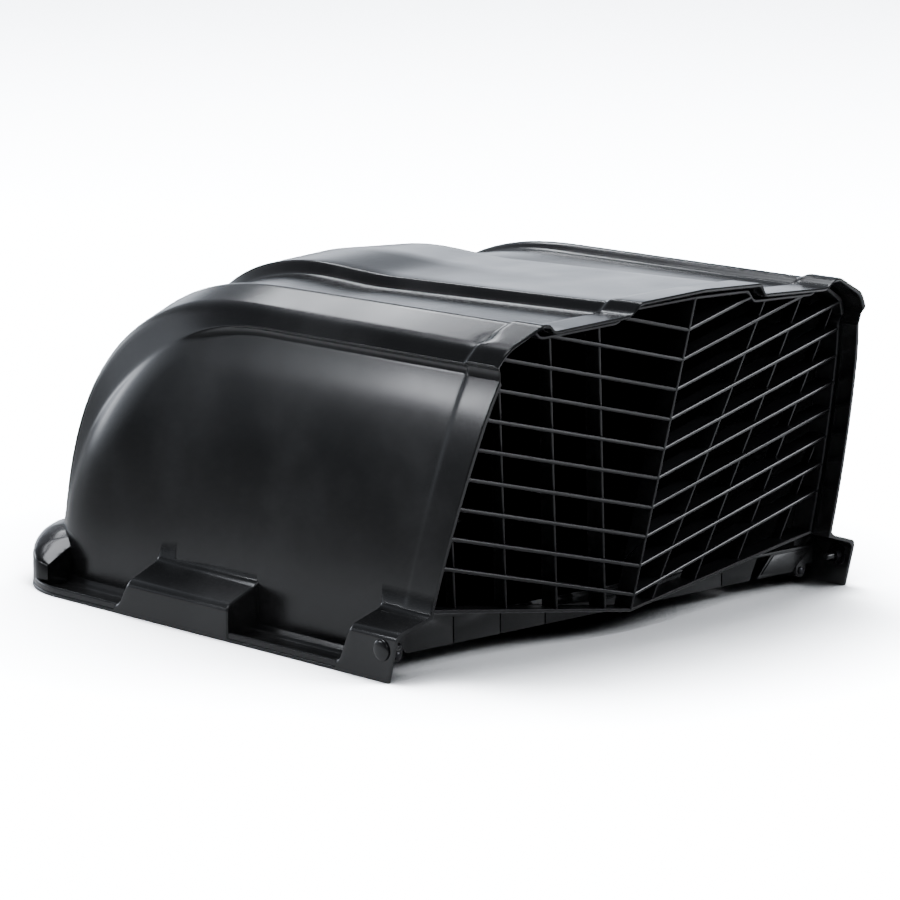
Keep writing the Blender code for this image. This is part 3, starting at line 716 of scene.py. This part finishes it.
def louvre_y(x, z):
    """Front face of the louvre lattice."""
    return LOUVRE_FOOT - LOUVRE_RAKE * z + LOUVRE_PROW * abs(x)


def rib_recess(x):
    """How far a rib's front edge stands back: more the further it is from the ridge."""
    return RIB_RECESS + RIB_SINK * max(0.0, abs(x) - RIB_SINK_FROM)


def bar(name, stations, thick, depth, recess=None, upright=False):
    """Bar of the lattice through (x, z) stations, with a rounded front; no recess means a rib's own."""
    half = thick / 2
    nose = arc_points((0.0, 0.0), 1.0, -90, 90, 6)
    slim = half * 0.8
    section = [(s * half, slim * (1 - c)) for c, s in nose] + [(slim, depth), (-slim, depth)]
    rings = []
    for x, z in stations:
        ring = []
        for across, back in section:
            px = x + (across if upright else 0.0)
            pz = z + (0.0 if upright else across)
            lead = rib_recess(x) if recess is None else recess
            ring.append((px, louvre_y(px, pz) + min(lead + back, LATTICE_DEPTH), pz))
        rings.append(ring)
    return loft(name, rings)


def frame_outline(offset):
    """Outline of the louvre frame: the mouth's inner profile, closed by the bottom rim."""
    row = half_row(lambda line: straight_point(line, 0.010, None, offset), offset, 0.0)
    corner_z = RIM_CENTRE_Z + RIM_RISE * wall_x(0.045) - FRAME_THICK / 2 + (offset - WALL - GAP)
    right = [(wall_x(corner_z, offset), corner_z)]
    right += [(p.x, p.z) for p in row if p.z > corner_z + 0.004]
    left = [(-x, z) for x, z in right[-2::-1]]
    centre_z = RIM_CENTRE_Z - FRAME_THICK / 2 + (offset - WALL - GAP)
    return right + left + [(0.0, centre_z)]


def frame_ring():
    """Perimeter frame of the louvre, with softened front edges."""
    outer = frame_outline(WALL + GAP)
    inner = frame_outline(WALL + GAP + FRAME_THICK)
    rings = []
    for (xo, zo), (xi, zi) in zip(outer, inner):
        out = Vector((xo, louvre_y(xo, zo), zo))
        ins = Vector((xi, louvre_y(xi, zi), zi))
        back = Vector((0, FRAME_DEPTH, 0))
        lead = Vector((0, FRAME_SOFT, 0))
        share = FRAME_SOFT / max((ins - out).length, 1e-6)
        ring = [out + lead, out.lerp(ins, share), ins.lerp(out, share), ins + lead, ins + back, out + back]
        rings.append([tuple(p) for p in ring])
    return loft("frame", rings, closed=True)


def louvre():
    """Chevron blades, fanned ribs and a ridge rib in a frame that fits the mouth."""
    bars = []
    for i in range(BLADE_COUNT):
        z = BLADE_TOP - i * BLADE_PITCH
        end_z = z + BLADE_RISE * LATTICE_REACH
        run = [(-LATTICE_REACH, end_z), (0.0, z), (LATTICE_REACH, end_z)]
        bars.append(bar("blade", run, BLADE_THICK, BLADE_DEPTH, 0.0))
    for side in (-1, 1):
        for foot in RIB_FEET:
            run = []
            for i in range(RIB_PIECES + 1):
                z = LATTICE_TOP * i / RIB_PIECES
                x = side * (foot + RIB_FAN * z)
                run.append((x + RIB_SHIFT * (rib_recess(x) - RIB_RECESS), z))
            bars.append(bar("rib", run, RIB_THICK, BLADE_DEPTH - RIB_RECESS, upright=True))
    ridge = [(0.0, 0.0), (0.0, LATTICE_TOP)]
    lattice = bar("ridge", ridge, RIB_THICK, BLADE_DEPTH + 0.001, -0.0004, upright=True)
    union(lattice, *bars)
    outline = frame_outline(WALL + GAP + FRAME_THICK / 2)
    trim = loft("trim", [[(x, y, z) for x, z in outline] for y in (-0.40, -0.10)])
    combine(lattice, trim, "INTERSECT")
    union(lattice, frame_ring())
    lattice.name = "louvre_insert"
    return lattice


def cross_panel():
    """Panel between the rear blocks: narrow slits, one wide gap, a blank plate and two screw tabs."""
    front = CROSS_Y + WALL
    bottom = [(-CROSS_HALF, CROSS_STEP), (-0.2145, CROSS_STEP), (-0.2100, CROSS_FOOT)]
    bottom += [(-x, z) for x, z in bottom[::-1]]
    panel = slab("cross_panel", bottom + list(CROSS_TOP), CROSS_Y, front)
    for side in (-1, 1):
        x, z, radius = side * TAB[0], TAB[1], TAB[2]
        neck = box("neck", (x - radius, x + radius), (CROSS_Y, front), (z, 0.0200))
        union(panel, neck, rod("tab", (x, z), [(CROSS_Y, radius), (front, radius)], along_y=True))
        hole = [(CROSS_Y - WALL, TAB_HOLE), (front + WALL, TAB_HOLE)]
        cut(panel, rod("hole", (x, z), hole, along_y=True))
    for x, top in SLITS:
        span = (x - SLIT_WIDTH / 2, x + SLIT_WIDTH / 2)
        cut(panel, box("slit", span, (CROSS_Y - WALL, front + WALL), (0.0, top)))
    cut(panel, slab("gap", WIDE_SLIT, CROSS_Y - WALL, front + WALL))
    union(panel, slab("plate", PLATE, CROSS_Y - PLATE_RAISE, CROSS_Y + WALL / 2))
    return bevelled(panel, 0.0004)


def bolt(side):
    """Round-head bolt of a rear block: domed head outside, shank inside."""
    face = WIDTH / 2
    steps = [(face - BOLT_LENGTH, 0.0024), (face - 0.0172, BOLT_SHANK), (face + 0.0003, BOLT_SHANK)]
    steps += [(face + 0.0003, 0.0084), (face + 0.0009, BOLT_HEAD)]
    for i in range(1, 10):
        a = math.radians(9 * i)
        steps.append((face + 0.0009 + BOLT_DOME * math.sin(a), BOLT_HEAD * math.cos(a)))
    name = "bolt_" + ("left" if side < 0 else "right")
    return rod(name, BOLT, [(side * x, r) for x, r in steps])


# ---- materials --------------------------------------------------------------------------

def new_material(name):
    """Empty material, its node tree and its main shader."""
    made = bpy.data.materials.new(name)
    made.use_nodes = True
    nodes = made.node_tree.nodes
    return made, nodes, made.node_tree.links, nodes["Principled BSDF"]


def noise_node(nodes, links, source, scale, detail):
    """Noise texture in object space."""
    made = nodes.new("ShaderNodeTexNoise")
    made.inputs["Scale"].default_value = scale
    made.inputs["Detail"].default_value = detail
    links.new(source, made.inputs["Vector"])
    return made


def ramp_node(nodes, links, source, stops):
    """Colour ramp from (position, grey or colour) stops."""
    made = nodes.new("ShaderNodeValToRGB")
    links.new(source, made.inputs["Fac"])
    for i, (position, value) in enumerate(stops):
        element = made.color_ramp.elements[i] if i < 2 else made.color_ramp.elements.new(position)
        element.position = position
        colour = value if isinstance(value, tuple) else (value, value, value)
        element.color = (*colour, 1.0)
    made.color_ramp.interpolation = "EASE" if len(stops) == 2 else "LINEAR"
    return made


def bump_chain(nodes, links, shader, heights):
    """Stack of bumps: (height socket, distance, strength) from coarse to fine."""
    normal = None
    for height, distance, strength in heights:
        bump = nodes.new("ShaderNodeBump")
        bump.inputs["Distance"].default_value = distance
        bump.inputs["Strength"].default_value = strength
        links.new(height, bump.inputs["Height"])
        if normal is not None:
            links.new(normal, bump.inputs["Normal"])
        normal = bump.outputs["Normal"]
    links.new(normal, shader.inputs["Normal"])


def moulded_plastic(name, dark, light, rough):
    """Satin black moulding: fine grain, cloudy sheen and slightly rubbed edges; the sheen comes partly from
    cloudy roughness and partly from lighter cloud patches painted into the base colour.
    """
    made, nodes, links, shader = new_material(name)
    place = nodes.new("ShaderNodeTexCoord").outputs["Object"]
    sheen_clouds = noise_node(nodes, links, place, 11.0, 4.0)
    grain = noise_node(nodes, links, place, 1400.0, 2.0)
    pebble = noise_node(nodes, links, place, 420.0, 1.0)
    # Painted sheen: lighter cloud patches in the base colour
    tone = ramp_node(nodes, links, sheen_clouds.outputs["Fac"], [(0.42, dark), (0.70, light)])
    edges = nodes.new("ShaderNodeNewGeometry")
    worn = ramp_node(nodes, links, edges.outputs["Pointiness"], [(0.52, 0.0), (0.60, 0.35)])
    mix = nodes.new("ShaderNodeMix")
    mix.data_type = "RGBA"
    links.new(worn.outputs["Color"], mix.inputs["Factor"])
    links.new(tone.outputs["Color"], mix.inputs[6])
    mix.inputs[7].default_value = (light[0] * 2.2, light[1] * 2.2, light[2] * 2.2, 1.0)
    links.new(mix.outputs[2], shader.inputs["Base Color"])
    gloss = ramp_node(nodes, links, sheen_clouds.outputs["Fac"], [(0.1, rough[0]), (0.9, rough[1])])
    links.new(gloss.outputs["Color"], shader.inputs["Roughness"])
    shader.inputs["Specular IOR Level"].default_value = 0.50
    bumps = [(pebble.outputs["Fac"], 0.00004, 0.05), (grain.outputs["Fac"], 0.00002, 0.22)]
    bump_chain(nodes, links, shader, bumps)
    return made


def plated_steel(name, dark, light, rough):
    """Plated sheet metal or fastener: faint brushing and spotty tone."""
    made, nodes, links, shader = new_material(name)
    place = nodes.new("ShaderNodeTexCoord").outputs["Object"]
    stretch = nodes.new("ShaderNodeMapping")
    stretch.inputs["Scale"].default_value = (60.0, 1500.0, 60.0)
    links.new(place, stretch.inputs["Vector"])
    brush = noise_node(nodes, links, stretch.outputs["Vector"], 1.0, 3.0)
    spots = noise_node(nodes, links, place, 160.0, 3.0)
    tone = ramp_node(nodes, links, spots.outputs["Fac"], [(0.35, dark), (0.7, light)])
    links.new(tone.outputs["Color"], shader.inputs["Base Color"])
    gloss = ramp_node(nodes, links, brush.outputs["Fac"], [(0.3, rough[0]), (0.7, rough[1])])
    links.new(gloss.outputs["Color"], shader.inputs["Roughness"])
    shader.inputs["Metallic"].default_value = 1.0
    bump_chain(nodes, links, shader, [(brush.outputs["Fac"], 0.00003, 0.4)])
    return made


def moulded_nylon(name):
    """Natural nylon: milky, faintly blotchy."""
    made, nodes, links, shader = new_material(name)
    place = nodes.new("ShaderNodeTexCoord").outputs["Object"]
    blotch = noise_node(nodes, links, place, 220.0, 3.0)
    milk = [(0.3, (0.66, 0.64, 0.58)), (0.7, (0.78, 0.77, 0.72))]
    tone = ramp_node(nodes, links, blotch.outputs["Fac"], milk)
    links.new(tone.outputs["Color"], shader.inputs["Base Color"])
    shader.inputs["Roughness"].default_value = 0.45
    bump_chain(nodes, links, shader, [(blotch.outputs["Fac"], 0.00003, 0.3)])
    return made


# ---- scene ------------------------------------------------------------------------------

def dress(piece, look, angle=32.0):
    """Give a piece its material and smooth shading with sharp corners kept."""
    piece.data.materials.clear()
    piece.data.materials.append(look)
    piece.data.polygons.foreach_set("material_index", [0] * len(piece.data.polygons))
    piece.data.shade_smooth()
    piece.data.set_sharp_from_angle(angle=math.radians(angle))


def place_piece(piece, look, body, nodes, angle=32.0):
    """Dress a piece, tie it to its body and let it stand for its CAD nodes."""
    dress(piece, look, angle)
    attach(piece, body)
    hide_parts(*nodes)


def math_node(nodes, links, operation, first, second=None, clamp=False):
    """Math node; each input is a number or a socket."""
    made = nodes.new("ShaderNodeMath")
    made.operation = operation
    made.use_clamp = clamp
    for slot, value in zip(made.inputs, (first, second)):
        if isinstance(value, (int, float)):
            slot.default_value = value
        elif value is not None:
            links.new(value, slot)
    return made.outputs[0]


def studio_floor():
    """White floor with a soft contact shadow and a shade under the hood, both painted into its colour; in
    the plastic's reflections it is painted pale close by and toward the rear and dark further off.
    """
    bm = bmesh.new()
    bmesh.ops.create_grid(bm, x_segments=1, y_segments=1, size=14.0)
    floor = make_object("floor", bm)
    pale, nodes, links, shader = new_material("pale_floor_painted_light_and_shade")
    nodes.remove(shader)
    # Painted contact shadow: the floor's colour darkens with ambient occlusion near the cover
    open_sky = nodes.new("ShaderNodeAmbientOcclusion")
    open_sky.samples = 12
    open_sky.inputs["Distance"].default_value = 0.35
    painted_shadow_white = math_node(nodes, links, "POWER", open_sky.outputs["AO"], FLOOR_CONTACT)
    painted_shadow_white = math_node(nodes, links, "MULTIPLY", painted_shadow_white, FLOOR_WHITE)
    place = nodes.new("ShaderNodeTexCoord").outputs["Object"]
    fit = nodes.new("ShaderNodeMapping")
    fit.inputs["Location"].default_value = (0.0, -FLOOR_SHADE[0] / FLOOR_SHADE[2], 0.0)
    fit.inputs["Scale"].default_value = (1 / FLOOR_SHADE[1], 1 / FLOOR_SHADE[2], 0.0)
    links.new(place, fit.inputs["Vector"])
    inside = nodes.new("ShaderNodeVectorMath")
    inside.operation = "LENGTH"
    links.new(fit.outputs["Vector"], inside.inputs[0])
    # Painted shade under the hood: an ellipse round the foot darkens the floor's colour, lifted again where
    # occlusion shows the hood stands open
    shade = ramp_node(nodes, links, inside.outputs["Value"], [(0.80, 0.0), (1.0, 1.0)]).outputs["Color"]
    opened = ramp_node(nodes, links, open_sky.outputs["AO"], [(0.25, 0.0), (0.60, 1.0)]).outputs["Color"]
    painted_shadow_white = math_node(nodes, links, "MULTIPLY", painted_shadow_white, math_node(nodes, links, "MAXIMUM", shade, opened))
    painted_shadow_bsdf = nodes.new("ShaderNodeBsdfDiffuse")
    links.new(painted_shadow_white, painted_shadow_bsdf.inputs["Color"])
    # Painted light and shade for the plastic's reflections: the floor's colour for other rays is pale close
    # by and toward the rear, dark further off
    reach = nodes.new("ShaderNodeVectorMath")
    reach.operation = "LENGTH"
    links.new(place, reach.inputs[0])
    near = ramp_node(nodes, links, reach.outputs["Value"], FLOOR_NEAR).outputs["Color"]
    split = nodes.new("ShaderNodeSeparateXYZ")
    links.new(place, split.inputs[0])
    behind = math_node(nodes, links, "SUBTRACT", split.outputs[0], split.outputs[1])
    rear = ramp_node(nodes, links, behind, FLOOR_REAR).outputs["Color"]
    painted_reflection_bounce = nodes.new("ShaderNodeBsdfDiffuse")
    links.new(math_node(nodes, links, "MAXIMUM", near, rear), painted_reflection_bounce.inputs["Color"])
    mix = nodes.new("ShaderNodeMixShader")
    links.new(nodes.new("ShaderNodeLightPath").outputs["Is Camera Ray"], mix.inputs[0])
    links.new(painted_reflection_bounce.outputs[0], mix.inputs[1])
    links.new(painted_shadow_bsdf.outputs[0], mix.inputs[2])
    links.new(mix.outputs[0], nodes["Material Output"].inputs["Surface"])
    floor.data.materials.append(pale)


def studio_sky():
    """White backdrop, and a studio with a pale band low ahead of the camera and little light elsewhere."""
    world = bpy.data.worlds.new("studio")
    bpy.context.scene.world = world
    world.use_nodes = True
    nodes, links = world.node_tree.nodes, world.node_tree.links
    toward = nodes.new("ShaderNodeTexCoord").outputs["Generated"]
    split = nodes.new("ShaderNodeSeparateXYZ")
    links.new(toward, split.inputs[0])
    height = ramp_node(nodes, links, split.outputs[2], SKY_HEIGHT).outputs["Color"]
    dot = nodes.new("ShaderNodeVectorMath")
    dot.operation = "DOT_PRODUCT"
    dot.inputs[1].default_value = (math.sin(SKY_AHEAD), math.cos(SKY_AHEAD), 0.0)
    links.new(toward, dot.inputs[0])
    ahead = ramp_node(nodes, links, dot.outputs["Value"], SKY_ROUND).outputs["Color"]
    level = math_node(nodes, links, "MULTIPLY", height, ahead)
    level = math_node(nodes, links, "MULTIPLY", level, SKY_LEVEL)
    level = math_node(nodes, links, "ADD", level, SKY_REST)
    lit = nodes["Background"]
    lit.inputs["Color"].default_value = SKY_COLOUR
    links.new(level, lit.inputs["Strength"])
    backdrop = nodes.new("ShaderNodeBackground")
    backdrop.inputs["Color"].default_value = (1.0, 1.0, 1.0, 1.0)
    backdrop.inputs["Strength"].default_value = BACKDROP
    mix = nodes.new("ShaderNodeMixShader")
    links.new(nodes.new("ShaderNodeLightPath").outputs["Is Camera Ray"], mix.inputs[0])
    links.new(lit.outputs[0], mix.inputs[1])
    links.new(backdrop.outputs[0], mix.inputs[2])
    links.new(mix.outputs[0], nodes["World Output"].inputs["Surface"])


def softbox(name, azimuth, elevation, reach, size, level, aim=(0.0, 0.0, 0.15)):
    """Soft rectangular lamp, placed by direction and distance from a point and aimed at it."""
    data = bpy.data.lights.new(name, "AREA")
    data.shape = "RECTANGLE"
    data.size, data.size_y = size
    data.energy = level * math.pi * size[0] * size[1]
    data.color = LAMP_TINT
    lamp = bpy.data.objects.new(name, data)
    a, e = math.radians(azimuth), math.radians(elevation)
    step = Vector((math.sin(a) * math.cos(e), math.cos(a) * math.cos(e), math.sin(e)))
    lamp.location = Vector(aim) + reach * step
    lamp.rotation_euler = (-step).to_track_quat("-Z", "Y").to_euler()
    lamp.visible_camera = False
    bpy.context.scene.collection.objects.link(lamp)


def studio():
    """Floor, sky and lamps."""
    studio_floor()
    studio_sky()
    for lamp in SOFTBOXES:
        softbox(*lamp)


def camera():
    """Long lens, a little above the cover, from behind its left side."""
    data = bpy.data.cameras.new("camera")
    data.sensor_width = CAMERA_SENSOR
    data.lens = CAMERA_LENS
    data.shift_x, data.shift_y = CAMERA_SHIFT
    data.clip_end = 60.0
    made = bpy.data.objects.new("camera", data)
    made.location = CAMERA_PLACE
    made.rotation_euler = (Vector(CAMERA_AIM) - made.location).to_track_quat("-Z", "Y").to_euler()
    bpy.context.scene.collection.objects.link(made)
    bpy.context.scene.camera = made


def build():
    """Make the visual pieces, and give the CAD nodes that stay their materials."""
    # For each plastic the first colour is its own and the second is the painted sheen of its cloud patches;
    # rubbed edges are lighter still
    black = moulded_plastic("satin_black", (0.0020, 0.0020, 0.0021), (0.0120, 0.0120, 0.0122), (0.16, 0.27))
    grille = moulded_plastic("grille_black", (0.004, 0.004, 0.0045), (0.007, 0.007, 0.0075), (0.28, 0.38))
    steel = plated_steel("stainless", (0.50, 0.50, 0.49), (0.66, 0.66, 0.64), (0.25, 0.42))
    dark = plated_steel("black_plating", (0.030, 0.030, 0.032), (0.060, 0.060, 0.063), (0.25, 0.40))
    nylon = moulded_nylon("natural_nylon")
    place_piece(hood(), black, "hood", ["hood_shell"])
    place_piece(louvre(), grille, "louvre", ["louvre_grille"])
    place_piece(cross_panel(), black, "hood", ["rear_cross_panel"])
    for side, name in ((-1, "left"), (1, "right")):
        place_piece(bolt(side), black, "hood", ["rear_bolt_" + name])
    looks = {"hinge_bush": nylon, "rear_washer": dark, "rear_nut": dark, "panel_screw": dark}
    for name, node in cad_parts.items():
        if name in ("hood_shell", "louvre_grille", "rear_cross_panel") or name.startswith("rear_bolt"):
            continue
        look = looks.get(name.rsplit("_", 1)[0], steel)
        for place in node.material_slots:
            place.material = look


build()
studio()
camera()
